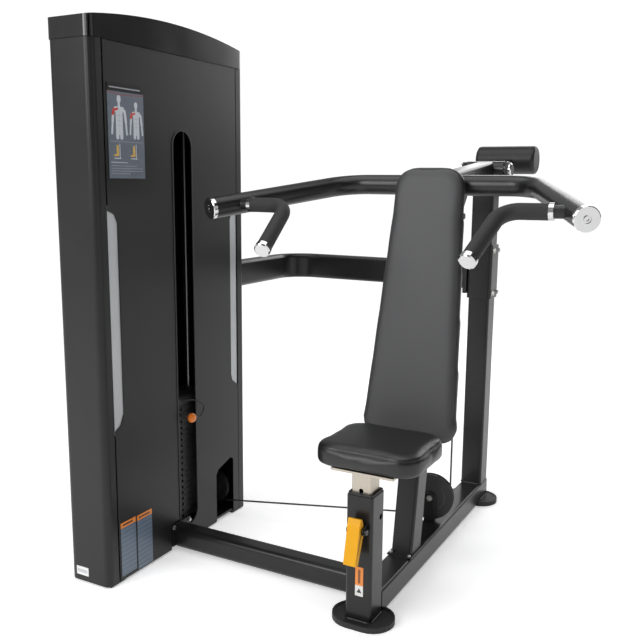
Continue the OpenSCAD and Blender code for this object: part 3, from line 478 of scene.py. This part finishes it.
# %% The labels
def make_labels():
    low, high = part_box("labels")
    paper = Finish("label_print", Coat_Weight=0.2, Coat_Roughness=0.2)
    x, y, z = paper.xyz()
    cloud = paper.noise(40.0, 3.0)
    u, v, w = y * 1000, z * 1000, x * 1000
    streak = (v * 0.45).math("SINE").rise(0.55, 0.9)
    picture = blend_colours(cloud, (0.085, 0.125, 0.180, 1), (0.120, 0.165, 0.225, 1))
    picture = blend_colours(streak * 0.45, picture, (0.20, 0.25, 0.31, 1))
    orange, ink = (0.78, 0.24, 0.03, 1), (0.03, 0.02, 0.02, 1)
    heads = panel_mask(u, v, (-1140, 167), (-1063, 190)).math(
        "MAXIMUM", panel_mask(u, v, (-1064, 165), (-990, 190)))
    picture = blend_colours(heads, picture, orange)
    marks = either([limb(u, v, (left, level), (right, level), width) for left, right, level, width in (
        (-1121, -1082, 175, 5), (-1050, -1046, 173, 6), (-1040, -1006, 173, 4.5))])
    picture = blend_colours(inside(marks), picture, ink)
    post = y.rise(-1.0005, -1.0025) * x.rise(-0.05, -0.04)
    tall = blend_colours(v.rise(115.5, 116.5), (0.72, 0.72, 0.70, 1), orange)
    tall = blend_colours(inside(limb(w, v, (3.5, 125), (3.5, 158), 7)), tall, (0.20, 0.06, 0.01, 1))
    roof = (w - 3.5).math("ABSOLUTE") * 1.7 + (v - 108.0)
    warn = inside(roof, 0.4) * v.rise(95.0, 95.8)
    tall = blend_colours(warn, tall, ink)
    picture = blend_colours(post, picture, tall)
    plate = y.rise(-1.1825, -1.1832)
    silver = blend_colours(panel_mask(w, v, (-828, 30), (-790, 40), 0.6),
                           (0.80, 0.80, 0.80, 1), (0.55, 0.56, 0.58, 1))
    picture = blend_colours(plate, picture, silver)
    paper.wire("Base Color", picture)
    paper.wire("Roughness", cloud * 0.12 + 0.28)
    return paper.material


label_print = make_labels()

# %% The bright inlays
def make_inlay():
    strip = Finish("silver_inlay", Coat_Weight=0.3, Coat_Roughness=0.2)
    cloud = strip.noise(3.0, 2.0)
    speck = strip.noise(1500.0, 1.0)
    strip.wire("Base Color", blend_colours(cloud, grey(0.40, (0.97, 0.99, 1.02)),
                                           grey(0.56, (0.98, 1, 1.02))))
    strip.wire("Roughness", speck * 0.15 + 0.30)
    strip.wire("Metallic", speck * 0.1 + 0.25)
    return strip.material


silver_inlay = make_inlay()
print("prints:", label_print.name, silver_inlay.name)

# %% Dress the CAD parts
DRESS = {
    black_paint: "front_post base_rail cross_member cross_flange rear_upright pivot_yoke "
                 "backrest_post upper_brace brace_clamp tower_base tower_posts top_frame "
                 "pulley_brackets arm_hub "
                 "arm_tube handle_bar grip_tubes lug_plate lever_bracket",
    graphite_paint: "tower_front_cover tower_rear_cover seat_side_panel outer_panel",
    slider_steel: "seat_slider",
    shaft_steel: "pivot_shaft stack_stem selector_pin lock_pin",
    chrome: "pivot_caps handle_caps",
    rod_steel: "guide_rods",
    zinc: "frame_bolts pulley_axles",
    plate_iron: "plates_resting head_plate plates_picked",
    weight_iron: "counterweight",
    foot_rubber: "front_foot rear_foot tower_feet stack_bumpers",
    grip_foam: "grip_sleeves",
    nylon: "seat_pulley tower_pulley top_pulley_rear top_pulley_front",
    matte_plastic: "slider_bush lanyard slot_trim",
    cap_plastic: "tower_cap",
    yellow_plastic: "seat_lever",
    orange_plastic: "pin_knob",
    cable_jacket: "cable_main cable_lift cable_drop",
    placard_print: "placard",
    label_print: "labels",
    silver_inlay: "side_inlays",
    vinyl_skin: "seat_pad backrest_pad",
}
for finish, names in DRESS.items():
    for name in names.split():
        nodes[name].data.materials.clear()
        nodes[name].data.materials.append(finish)
print("dressed:", sum(len(n.split()) for n in DRESS.values()))

# %% [markdown]
# ## Modelling tools
# Three small helpers save repetition: one selects a single object, one lays a block between
# two corners, and one goes into edit mode with only chosen faces, edges or corners selected.

# %% Modelling tools
def only(obj):
    bpy.ops.object.select_all(action="DESELECT")
    obj.select_set(True)
    bpy.context.view_layer.objects.active = obj


def settle(obj):
    """Puts the object's place, turn and size into its mesh."""
    only(obj)
    bpy.ops.object.transform_apply(location=True, rotation=True, scale=True)


def block(name, low, high):
    bpy.ops.object.select_all(action="DESELECT")
    low, high = Vector(low), Vector(high)
    bpy.ops.mesh.primitive_cube_add(size=1, location=(low + high) / 2)
    obj = bpy.context.object
    obj.name = name
    obj.scale = high - low
    settle(obj)
    return obj


def edit(obj, kind, test):
    """Edit mode, with the faces, edges or corners whose middle passes the test selected."""
    only(obj)
    bpy.ops.object.mode_set(mode="EDIT")
    bpy.ops.mesh.select_mode(type=kind)
    bpy.ops.mesh.select_all(action="DESELECT")
    mesh = bmesh.from_edit_mesh(obj.data)
    if kind == "FACE":
        for face in mesh.faces:
            face.select_set(bool(test(face.calc_center_median(), face.normal)))
    elif kind == "EDGE":
        for edge in mesh.edges:
            a, b = edge.verts
            if test((a.co + b.co) / 2, (b.co - a.co).normalized()):
                edge.select_set(True)
    else:
        for vert in mesh.verts:
            vert.select_set(bool(test(vert.co, vert.normal)))
    mesh.select_flush_mode()
    bmesh.update_edit_mesh(obj.data)


def leave_edit(obj, smooth=35):
    bpy.ops.object.mode_set(mode="OBJECT")
    only(obj)
    bpy.ops.object.shade_smooth_by_angle(angle=math.radians(smooth))


def apply_all(obj):
    only(obj)
    for modifier in list(obj.modifiers):
        bpy.ops.object.modifier_apply(modifier=modifier.name)


def dress(obj, finish, body):
    obj.data.materials.clear()
    obj.data.materials.append(finish)
    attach(obj, body)


# %% [markdown]
# ## Stuffed pads
# A pad starts as a block a little smaller than the real one. Its corners are rounded with
# bevels, then voxels turn it into even cloth, and the cloth simulation blows it up. Each
# point may move only a few millimetres, and the side on the board stays flat. Last comes
# the seam: the vinyl is pulled in along a line round the side band, and a thin welt lies in it.

# %% Blow up a pad
def remesh(obj, voxel):
    modifier = obj.modifiers.new("voxels", "REMESH")
    modifier.mode, modifier.voxel_size = "VOXEL", voxel
    apply_all(obj)
    modifier = obj.modifiers.new("even", "SMOOTH")
    modifier.factor, modifier.iterations = 0.5, 3
    apply_all(obj)


STEPS = 14                                    # of cloth, and how often it is smoothed after
CALM = 10


def puff(obj, cap, back_axis, back_side, pressure=4.0):
    """Cloth under pressure; no point moves further than cap, none out through its back."""
    rest = [v.co.copy() for v in obj.data.vertices]
    cloth = obj.modifiers.new("cloth", "CLOTH")
    cloth.settings.use_pressure = True
    cloth.settings.uniform_pressure_force = pressure
    cloth.settings.effector_weights.gravity = 0
    cloth.settings.quality = 3
    cloth.point_cache.frame_start, cloth.point_cache.frame_end = 1, STEPS
    scene = bpy.context.scene
    for step in range(1, STEPS + 1):
        scene.frame_set(step)
    blown = obj.evaluated_get(bpy.context.evaluated_depsgraph_get()).to_mesh()
    moved = [v.co.copy() for v in blown.vertices]
    obj.modifiers.remove(cloth)
    scene.frame_set(1)
    edge = back_side * max(back_side * r[back_axis] for r in rest)
    for vert, before, after in zip(obj.data.vertices, rest, moved):
        step = after - before
        if step.length > cap:
            step *= cap / step.length
        near_back = 1 - min(1, abs(before[back_axis] - edge) / 0.012)
        if step[back_axis] * back_side > 0:
            step[back_axis] *= 1 - near_back
        vert.co = before + step
    calm = obj.modifiers.new("calm", "SMOOTH")
    calm.factor, calm.iterations = 0.5, CALM
    apply_all(obj)
    print("puffed", obj.name, len(rest), "points")


def fill_box(obj, low, high):
    """Stretches the mesh a little so that it reaches just these corners."""
    ends = [(min(v.co[i] for v in obj.data.vertices), max(v.co[i] for v in obj.data.vertices))
            for i in range(3)]
    for vert in obj.data.vertices:
        for i in range(3):
            least, most = ends[i]
            vert.co[i] = low[i] + (vert.co[i] - least) * (high[i] - low[i]) / (most - least)


def smooth_skin(obj):
    modifier = obj.modifiers.new("finer", "SUBSURF")
    modifier.levels = modifier.render_levels = 1
    apply_all(obj)
    only(obj)
    bpy.ops.object.shade_smooth()


def normals_of(obj):
    """All normals at once: reading one after moving a point works them all out anew."""
    return [v.normal.copy() for v in obj.data.vertices]


def pull_seam(obj, axis, level, depth, width):
    """Draws the skin in along the plane where the axis coordinate is level."""
    obj.data.update()
    for vert, normal in zip(obj.data.vertices, normals_of(obj)):
        away = (vert.co[axis] - level) / width
        if abs(away) < 3 and abs(normal[axis]) < 0.92:
            vert.co -= normal * depth * math.exp(-away * away)


def mark_panel(obj, axis, side, level, reach=0.016):
    """The mark is 1 beyond the seam, on the side the user leans on, and 0 elsewhere: the 1 is painted
    light on the lit face, and the ramp over reach is painted shade on the rolled edge.
    """
    values = [min(1, max(0, side * (v.co[axis] - level) / reach)) for v in obj.data.vertices]
    layer = obj.data.attributes.new("face_panel", "FLOAT", "POINT")
    layer.data.foreach_set("value", values)


def seam_path(obj, axis, level, middle, count=120):
    """Points on the skin all round it, in the plane of the seam."""
    points = []
    others = [i for i in range(3) if i != axis]
    for i in range(count):
        turn = 2 * math.pi * i / count
        out = Vector((0, 0, 0))
        out[others[0]], out[others[1]] = math.cos(turn), math.sin(turn)
        start = Vector(middle)
        start[axis] = level
        hit, place, _, _ = obj.ray_cast(start + out * 2, -out)
        if hit:
            points.append(place)
    return points


def tube(name, points, radius, closed=True, swell=None, sides=3):
    """A round tube along points, as a mesh; swell gives each point its share of the radius."""
    curve = bpy.data.curves.new(name, "CURVE")
    curve.dimensions, curve.bevel_depth, curve.bevel_resolution = "3D", radius, sides
    curve.use_fill_caps = not closed
    line = curve.splines.new("POLY")
    line.points.add(len(points) - 1)
    for i, (spot, point) in enumerate(zip(line.points, points)):
        spot.co = (*point, 1)
        spot.radius = swell[i] if swell else 1
    line.use_cyclic_u = closed
    obj = bpy.data.objects.new(name, curve)
    bpy.context.scene.collection.objects.link(obj)
    only(obj)
    bpy.ops.object.convert(target="MESH")
    obj = bpy.context.object
    bpy.ops.object.shade_smooth()
    return obj


# %% The seat
def make_seat():
    low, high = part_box("seat_pad")
    inset = 0.006
    pad = block("seat_cushion", low + Vector((inset, inset, 0.001)),
                high - Vector((inset, inset, 0.009)))
    edit(pad, "EDGE", lambda middle, along: abs(along.z) > 0.9)
    bpy.ops.mesh.bevel(offset=0.060, segments=10, affect="EDGES")
    bpy.ops.object.mode_set(mode="OBJECT")
    top = max(v.co.z for v in pad.data.vertices)
    edit(pad, "EDGE", lambda middle, along: abs(along.z) < 0.1 and abs(middle.z - top) < 1e-4)
    bpy.ops.mesh.bevel(offset=0.014, segments=5, affect="EDGES")
    bpy.ops.object.mode_set(mode="OBJECT")
    remesh(pad, 0.0062)
    puff(pad, 0.004, 2, -1, 2.5)
    smooth_skin(pad)
    crown = Vector(((low.x + high.x) / 2, (low.y + high.y) / 2, 0))
    for vert, normal in zip(pad.data.vertices, normals_of(pad)):    # a low crown on top
        across = abs(vert.co.x - crown.x) / ((high.x - low.x) / 2)
        along = abs(vert.co.y - crown.y) / ((high.y - low.y) / 2)
        if normal.z > 0.3:
            vert.co.z += 0.004 * (1 - across ** 2.5) * (1 - along ** 2.5) * normal.z
    fill_box(pad, low + Vector((0.0005, 0.0005, 0.001)), high - Vector((0.0005, 0.0005, 0)))
    level = high.z - 0.0165
    pull_seam(pad, 2, level, 0.0016, 0.0035)
    path = seam_path(pad, 2, level, (crown.x, crown.y, level))
    welt = tube("seat_seam_welt", path, 0.0015)
    dress(pad, vinyl_skin, "seat")
    dress(welt, seam_thread, "seat")
    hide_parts("seat_pad")
    print("seat:", len(pad.data.vertices), "points, seam", len(path))


make_seat()

# %% [markdown]
# The backrest is narrower at the top and leans back. It is modelled upright, with its front
# at y = 0, and the finished meshes are leaned at the end. Behind it is the board that the
# upholsterer staples the vinyl to, held to the post by two brackets with screws.

# %% The backrest
LEAN = math.radians(9.5)
BACK_FOOT = Vector((0, -0.697, 0.490))
BACK_LOW, BACK_HIGH = 0.145, 0.103            # half widths at the bottom and at the top
BACK_BOTTOM, BACK_TOP, BACK_THICK = -0.058, 0.736, 0.046


def lean_back(obj):
    obj.rotation_euler = (-LEAN, 0, 0)
    obj.location = BACK_FOOT
    settle(obj)


def make_back():
    inset = 0.006
    pad = block("back_cushion", (-BACK_LOW + inset, 0.008, BACK_BOTTOM + inset),
                (BACK_LOW - inset, BACK_THICK - 0.001, BACK_TOP - inset))
    edit(pad, "VERT", lambda place, normal: place.z > 0.5)
    bpy.ops.transform.resize(value=((BACK_HIGH - inset) / (BACK_LOW - inset), 1, 1))
    bpy.ops.object.mode_set(mode="OBJECT")
    edit(pad, "EDGE", lambda middle, along: abs(along.y) > 0.9)
    bpy.ops.mesh.bevel(offset=0.054, segments=10, affect="EDGES")
    bpy.ops.object.mode_set(mode="OBJECT")
    front = min(v.co.y for v in pad.data.vertices)
    edit(pad, "EDGE", lambda middle, along: abs(along.y) < 0.1 and abs(middle.y - front) < 1e-4)
    bpy.ops.mesh.bevel(offset=0.014, segments=5, affect="EDGES")
    bpy.ops.object.mode_set(mode="OBJECT")
    remesh(pad, 0.0075)
    puff(pad, 0.005, 1, 1, 3.0)
    smooth_skin(pad)
    for vert, normal in zip(pad.data.vertices, normals_of(pad)):    # a low crown in front
        share = (vert.co.z - BACK_BOTTOM) / (BACK_TOP - BACK_BOTTOM)
        half = BACK_LOW + (BACK_HIGH - BACK_LOW) * share
        if normal.y < -0.3:
            crown = (1 - min(1, abs(vert.co.x) / half) ** 2.5) * (1 - abs(2 * share - 1) ** 6)
            vert.co.y -= 0.003 * crown
    fill_box(pad, (-BACK_LOW, 0.0005, BACK_BOTTOM), (BACK_LOW, BACK_THICK - 0.001, BACK_TOP))
    level = 0.0185
    pull_seam(pad, 1, level, 0.0022, 0.0035)
    # mark the lit front face for painted light; the mark's fade over the rolled edge is painted shade
    mark_panel(pad, 1, -1, level)
    path = []
    for i in range(160):                                # the pad is long, so the rays start round a tall ellipse about one centre
        turn = 2 * math.pi * i / 160
        out = Vector((math.cos(turn) * 0.32, 0, math.sin(turn)))
        start = Vector((0, level, 0.34)) + out * 2
        hit, place, _, _ = pad.ray_cast(start, -out.normalized())
        if hit:
            path.append(place)
    welt = tube("back_seam_welt", path, 0.0015)
    board = block("back_board", (-0.080, BACK_THICK, 0.020), (0.080, BACK_THICK + 0.010, 0.600))
    edit(board, "EDGE", lambda middle, along: abs(along.y) > 0.9)
    bpy.ops.mesh.bevel(offset=0.020, segments=5, affect="EDGES")
    bpy.ops.mesh.select_all(action="DESELECT")
    leave_edit(board)
    edit(board, "FACE", lambda middle, normal: normal.y > 0.9)
    bpy.ops.mesh.inset(thickness=0.008, depth=-0.0015)
    leave_edit(board)
    brackets = []
    for low_z in (0.060, 0.420):
        plate = block(f"back_bracket_{len(brackets)}", (-0.030, BACK_THICK + 0.010, low_z),
                      (0.030, BACK_THICK + 0.015, low_z + 0.060))
        edit(plate, "EDGE", lambda middle, along: abs(along.y) > 0.9)
        bpy.ops.mesh.bevel(offset=0.006, segments=3, affect="EDGES")
        leave_edit(plate)
        brackets.append(plate)
    for piece in (pad, welt, board, *brackets):
        lean_back(piece)
    dress(pad, vinyl_skin, "frame")
    dress(welt, seam_thread, "frame")
    dress(board, matte_plastic, "frame")
    for plate in brackets:
        dress(plate, black_paint, "frame")
    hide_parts("backrest_pad")
    print("backrest:", len(pad.data.vertices), "points, seam", len(path))


make_back()

# %% [markdown]
# ## Bolts
# The CAD model has a plain hexagon wherever there is a bolt. We read where each one is and
# how it lies, model one proper bolt (a washer, a chamfered head, a shallow dish on top)
# standing along +Z, and set a copy on each hexagon.

# %% Find the hexagons
def islands(name):
    """Lowest and highest corner of each separate solid in a CAD node."""
    copy = bmesh.new()
    copy.from_mesh(nodes[name].data)
    bmesh.ops.remove_doubles(copy, verts=copy.verts, dist=1e-5)
    found, seen = [], set()
    for vert in copy.verts:
        if vert.index in seen:
            continue
        group, queue = [], [vert]
        seen.add(vert.index)
        while queue:
            here = queue.pop()
            group.append(here.co.copy())
            for edge in here.link_edges:
                there = edge.other_vert(here)
                if there.index not in seen:
                    seen.add(there.index)
                    queue.append(there)
        found.append((Vector([min(p[i] for p in group) for i in range(3)]),
                      Vector([max(p[i] for p in group) for i in range(3)])))
    copy.free()
    return found


# %% One bolt, copied
def hex_bolt(name, radius, height):
    """Head of the given radius, standing on z = 0, with its washer below the chamfer."""
    bpy.ops.object.select_all(action="DESELECT")
    bpy.ops.mesh.primitive_cylinder_add(vertices=6, radius=radius * 0.94, depth=height * 0.8,
                                        location=(0, 0, height * 0.6))
    head = bpy.context.object
    settle(head)
    edit(head, "FACE", lambda middle, normal: normal.z > 0.9)
    bpy.ops.mesh.inset(thickness=radius * 0.12, depth=radius * 0.07)
    bpy.ops.mesh.inset(thickness=radius * 0.22, depth=-radius * 0.06)
    leave_edit(head, 20)
    bpy.ops.object.select_all(action="DESELECT")
    bpy.ops.mesh.primitive_cylinder_add(vertices=32, radius=radius, depth=height * 0.22,
                                        location=(0, 0, height * 0.11))
    washer = bpy.context.object
    settle(washer)
    edit(washer, "EDGE", lambda middle, along: abs(along.z) < 0.1)
    bpy.ops.mesh.bevel(offset=height * 0.05, segments=2, affect="EDGES")
    leave_edit(washer)
    head.select_set(True)
    bpy.context.view_layer.objects.active = head
    bpy.ops.object.join()
    head.name = name
    return head


def bolt_up():
    made = []
    for low, high in islands("frame_bolts"):
        size = high - low
        axis = min(range(3), key=lambda i: size[i])
        bolt = hex_bolt(f"bolt_{len(made)}", max(size) / 2, size[axis])
        bolt.rotation_euler = ((0, math.pi / 2, 0), (-math.pi / 2, 0, 0), (0, 0, 0))[axis]
        place = (low + high) / 2
        place[axis] = low[axis]
        bolt.location = place
        settle(bolt)
        made.append(bolt)
    bpy.ops.object.select_all(action="DESELECT")
    for bolt in made:
        bolt.select_set(True)
    bpy.context.view_layer.objects.active = made[0]
    bpy.ops.object.join()
    made[0].name = "hex_bolts"
    dress(made[0], zinc, "frame")
    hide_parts("frame_bolts")
    print("bolts:", len(made))


bolt_up()

# %% [markdown]
# ## The cable
# The run from the low pulley up to the arm gets longer as the arm rises. A real cable comes
# out of the pulley, so two straight pieces share one line: the lower one stays with the
# frame, and the upper one goes up with the stack, which the cable lifts by the same amount.
# The drop to the stack gets shorter; here it is one straight piece that stays with the frame.

# %% Cable runs
def cable_runs():
    low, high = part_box("cable_lift")
    x, y, radius = (low.x + high.x) / 2, (low.y + high.y) / 2, (high.x - low.x) / 2
    split, lap = high.z - 0.06, 0.36

    def run(name, z0, z1, share):
        points = [(x, y, z0 + (z1 - z0) * i / 24) for i in range(25)]
        return tube(name, points, radius * share, closed=False, sides=4)
    still = run("cable_run_low", low.z, split, 0.97)
    rising = run("cable_run_high", split - lap, high.z, 1.0)
    dress(still, cable_jacket, "frame")
    dress(rising, cable_jacket, "stack")
    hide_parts("cable_lift")
    low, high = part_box("cable_drop")
    x, y = (low.x + high.x) / 2, (low.y + high.y) / 2
    drop = run("cable_drop_run", low.z, high.z, 1.0)
    dress(drop, cable_jacket, "frame")
    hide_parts("cable_drop")
    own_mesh(drop)


cable_runs()

# %% [markdown]
# ## Weld beads
# A hand-laid bead looks like a row of coins pushed over. A thin tube whose radius pulses
# every two millimetres gives that, run round the foot of each post.

# %% Weld beads
def weld(name, corners, body, radius=0.003, pitch=0.0024, closed=True):
    points = []
    ends = corners[1:] + ([corners[0]] if closed else [])
    for a, b in zip(corners, ends):
        a, b = Vector(a), Vector(b)
        steps = max(2, int((b - a).length / pitch))
        points += [a.lerp(b, i / steps) for i in range(steps)]
    if not closed:
        points.append(Vector(corners[-1]))
    swell = [1.0 if i % 2 else 0.72 for i in range(len(points))]
    bead = tube(name, points, radius, closed, swell, 2)
    dress(bead, bead_paint, body)
    return bead


def ring(low, high, z, corner=0.008):
    """The outline of a square tube with rounded corners, at height z."""
    outline = []
    left, right = low[0] + corner, high[0] - corner
    near, far = low[1] + corner, high[1] - corner
    for cx, cy, start in ((right, far, 0), (left, far, 90), (left, near, 180), (right, near, 270)):
        for step in range(5):
            turn = math.radians(start + step * 22.5)
            outline.append((cx + corner * math.cos(turn), cy + corner * math.sin(turn), z))
    return outline


FOOT_TOP = 0.014                              # the posts stand in the feet, this high up
POST_HALF, POST_DEPTH = 0.030, 0.076          # the backrest's post, across and front to back
POST_BEHIND = 0.061                           # and how far it is behind the pad's front


def weld_all():
    rail_low, rail_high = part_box("base_rail")
    post_low, post_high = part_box("front_post")
    up_low, up_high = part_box("rear_upright")
    beads = [("weld_rear_upright", ring(up_low, up_high, rail_high.z)),
             ("weld_rear_foot", ring(up_low, up_high, FOOT_TOP)),
             ("weld_front_foot", ring(post_low, post_high, FOOT_TOP))]
    for name, outline in beads:
        weld(name, outline, "frame")
    front = (BACK_FOOT.y + POST_BEHIND / math.cos(LEAN)
             - (BACK_FOOT.z - rail_high.z) * math.tan(LEAN))
    deep = POST_DEPTH / math.cos(LEAN)
    outline = ring((-POST_HALF, front), (POST_HALF, front + deep), rail_high.z + 0.001)
    weld("weld_back_post", outline, "frame")
    print("weld beads laid")


weld_all()

# %% [markdown]
# ## The safety cord
# A thin cord ties the selector pin to the top of the stack, so that nobody loses the pin.
# Here the cord is one still tube, attached to neither body.

# %% Safety cord
def round_corners(points, cuts, steps=6):
    """The line through the points with each inner corner cut back and turned into a curve."""
    points = [Vector(p) for p in points]
    path = [points[0]]
    for before, corner, after, cut in zip(points, points[1:], points[2:], cuts):
        start = corner + (before - corner).normalized() * cut
        end = corner + (after - corner).normalized() * cut
        for i in range(steps + 1):
            t = i / steps
            path.append(start * (1 - t) ** 2 + corner * 2 * t * (1 - t) + end * t * t)
    path.append(points[-1])
    return path


CORD_THICK = 0.0044


def make_lanyard():
    path = round_corners([(-0.7261, -0.8061, 0.472), (-0.695, -0.7761, 0.474),
                          (-0.688, -0.7321, 0.444), (-0.686, -0.7701, 0.410),
                          (-0.682, -0.7911, 0.422)], (0.020, 0.024, 0.011))
    cord = tube("safety_cord", path, CORD_THICK / 2, closed=False, sides=4)
    cord.data.materials.clear()
    cord.data.materials.append(cord_weave)
    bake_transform(cord)
    length = sum((b - a).length for a, b in zip(path, path[1:]))
    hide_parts("lanyard")
    print("safety cord:", round(length, 3), "m")


make_lanyard()

# %% [markdown]
# ## Softened edges
# No sheet or forging has a knife edge. A narrow bevel on the sharp-edged CAD parts gives
# each edge the thin bright line that tells the eye how thick the steel is.

# %% Soften the edges
SOFT_EDGES = {
    0.0014: "seat_lever tower_front_cover tower_rear_cover outer_panel seat_side_panel tower_cap",
    0.0009: "lever_bracket cross_flange lug_plate pulley_brackets brace_clamp pivot_yoke "
            "side_inlays head_plate slot_trim",
}


def soften():
    for width, names in SOFT_EDGES.items():
        for name in names.split():
            join = nodes[name].modifiers.new("join", "WELD")
            join.merge_threshold = 0.00002
            bevel = nodes[name].modifiers.new("edge", "BEVEL")
            bevel.width, bevel.segments, bevel.limit_method = width, 2, "ANGLE"
            bevel.angle_limit, bevel.harden_normals = math.radians(40), True
            bevel.use_clamp_overlap = True


soften()
